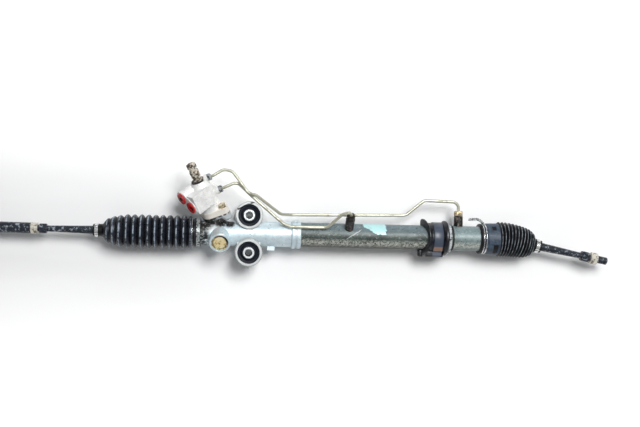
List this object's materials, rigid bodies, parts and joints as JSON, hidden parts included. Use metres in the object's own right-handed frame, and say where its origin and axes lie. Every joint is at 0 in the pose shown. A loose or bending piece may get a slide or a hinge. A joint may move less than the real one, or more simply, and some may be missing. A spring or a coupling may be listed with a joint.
{
  "type": "hydraulic power steering rack",
  "caption": "Rack and pinion steering gear with hydraulic cylinder tube, rotary valve, pressure pipes, bellows boots, tie rods and rubber bushed mounts.",
  "frame": {"origin": "midway between the two housing bolt bores, on the plane where the bush sleeves seat", "axes": "+X along the rack towards the long cylinder tube, +Z along the bolt bores away from the seat, +Y towards the steering shaft"},
  "size_m": [1.2742, 0.2032, 0.1127],
  "materials": {
    "cast_aluminium": "sand cast, greasy in the hollows",
    "bare_steel": "machined",
    "hardened_steel": "ground",
    "rusty_steel": "rust and old grease",
    "dark_forging": "black forged",
    "painted_tube": "worn dark green grey paint",
    "yellow_zinc": "yellow passivated",
    "pipe_steel": "olive passivated",
    "black_rubber": "matt",
    "red_plastic": "moulded",
    "bearing_plastic": "moulded",
    "guide_alloy": "machined"
  },
  "bodies": {
    "housing": {"cylinder_tube": "painted_tube", "end_rack_bush": "bearing_plastic", "gear_housing": "cast_aluminium", "guide_adjuster": "yellow_zinc", "guide_spring": "bare_steel", "hose_port_plugs": "red_plastic", "inner_rack_seal": "black_rubber", "input_shaft_bearing": "bare_steel", "input_shaft_seal": "black_rubber", "left_boot": "black_rubber", "left_boot_band": "bare_steel", "long_pipe_port": "dark_forging", "long_pressure_pipe": "pipe_steel", "lower_mount_rubber": "black_rubber", "lower_mount_sleeve": "bare_steel", "lower_pinion_bearing": "bare_steel", "pinion_end_cap": "bare_steel", "pipe_nuts": "yellow_zinc", "rack_guide": "guide_alloy", "right_boot": "black_rubber", "right_boot_wires": "bare_steel", "short_pipe_port": "dark_forging", "short_pressure_pipe": "pipe_steel", "tube_mount_ring": "bare_steel", "tube_mount_rubber": "black_rubber", "upper_mount_rubber": "black_rubber", "upper_mount_sleeve": "bare_steel", "upper_pinion_bearing": "bare_steel", "valve_bolts": "yellow_zinc", "valve_housing": "cast_aluminium"},
    "rack": {"rack_bar": "bare_steel", "rack_piston": "bare_steel", "piston_ring": "bearing_plastic", "left_socket": "dark_forging", "right_socket": "dark_forging", "left_ball_seat": "bearing_plastic", "right_ball_seat": "bearing_plastic", "left_lock_washer": "bare_steel", "right_lock_washer": "bare_steel"},
    "pinion": {"pinion": "hardened_steel", "valve_sleeve": "hardened_steel", "torsion_bar": "hardened_steel"},
    "steering_shaft": {"input_shaft": "rusty_steel"},
    "left_ball_pin": {"left_ball": "bare_steel"},
    "left_rod": {"left_tie_rod": "dark_forging", "left_jam_nut": "yellow_zinc", "left_boot_clip": "bare_steel", "left_rod_end": "dark_forging", "left_end_seat": "bearing_plastic", "left_end_boot": "black_rubber"},
    "left_end_ball_pin": {"left_end_ball": "bare_steel"},
    "left_stud": {"left_ball_stud": "dark_forging", "left_castle_nut": "yellow_zinc"},
    "right_ball_pin": {"right_ball": "bare_steel"},
    "right_rod": {"right_tie_rod": "dark_forging", "right_jam_nut": "yellow_zinc", "right_boot_clip": "bare_steel"}
  },
  "joints": [
    {"name": "rack_slide", "type": "slide", "parent": "housing", "child": "rack", "axis": [1, 0, 0], "range_m": [-0.02, 0.115], "deforming": ["left_boot", "right_boot"]},
    {"name": "pinion_spin", "type": "hinge", "parent": "housing", "child": "pinion", "pos_m": [-0.057, 0.0076, 0.01508], "axis": [-0.3907, 0.8202, 0.4179], "range_deg": [-144, 824]},
    {"name": "input_twist", "type": "hinge", "parent": "pinion", "child": "steering_shaft", "pos_m": [-0.057, 0.0076, 0.01508], "axis": [-0.3907, 0.8202, 0.4179], "range_deg": [-7, 7], "stiffness_Nm_per_rad": 60},
    {"name": "left_rod_swing", "type": "hinge", "parent": "rack", "child": "left_ball_pin", "pos_m": [-0.254, 0, 0.03], "axis": [0, 0, 1], "range_deg": [-14.5, 15.5], "deforming": ["left_boot"]},
    {"name": "left_rod_lift", "type": "hinge", "parent": "left_ball_pin", "child": "left_rod", "pos_m": [-0.254, 0, 0.03], "axis": [0.0087, 1, 0], "range_deg": [-20, 20], "deforming": ["left_boot"]},
    {"name": "right_rod_swing", "type": "hinge", "parent": "rack", "child": "right_ball_pin", "pos_m": [0.518, 0, 0.03], "axis": [0, 0, 1], "range_deg": [-3.8, 26.2], "deforming": ["right_boot"]},
    {"name": "right_rod_lift", "type": "hinge", "parent": "right_ball_pin", "child": "right_rod", "pos_m": [0.518, 0, 0.03], "axis": [-0.1942, -0.981, 0], "range_deg": [-20, 20], "deforming": ["right_boot"]},
    {"name": "left_end_tilt", "type": "hinge", "parent": "left_rod", "child": "left_end_ball_pin", "pos_m": [-0.53799, 0.00248, 0.03], "axis": [0.0087, 1, 0], "range_deg": [-20, 20], "deforming": ["left_end_boot"]},
    {"name": "left_stud_spin", "type": "hinge", "parent": "left_end_ball_pin", "child": "left_stud", "pos_m": [-0.53799, 0.00248, 0.03], "axis": [0, 0, 1], "continuous": true}
  ],
  "couplings": [
    {"joint": "pinion_spin", "follows": "rack_slide", "rad_per_m": 125}
  ]
}
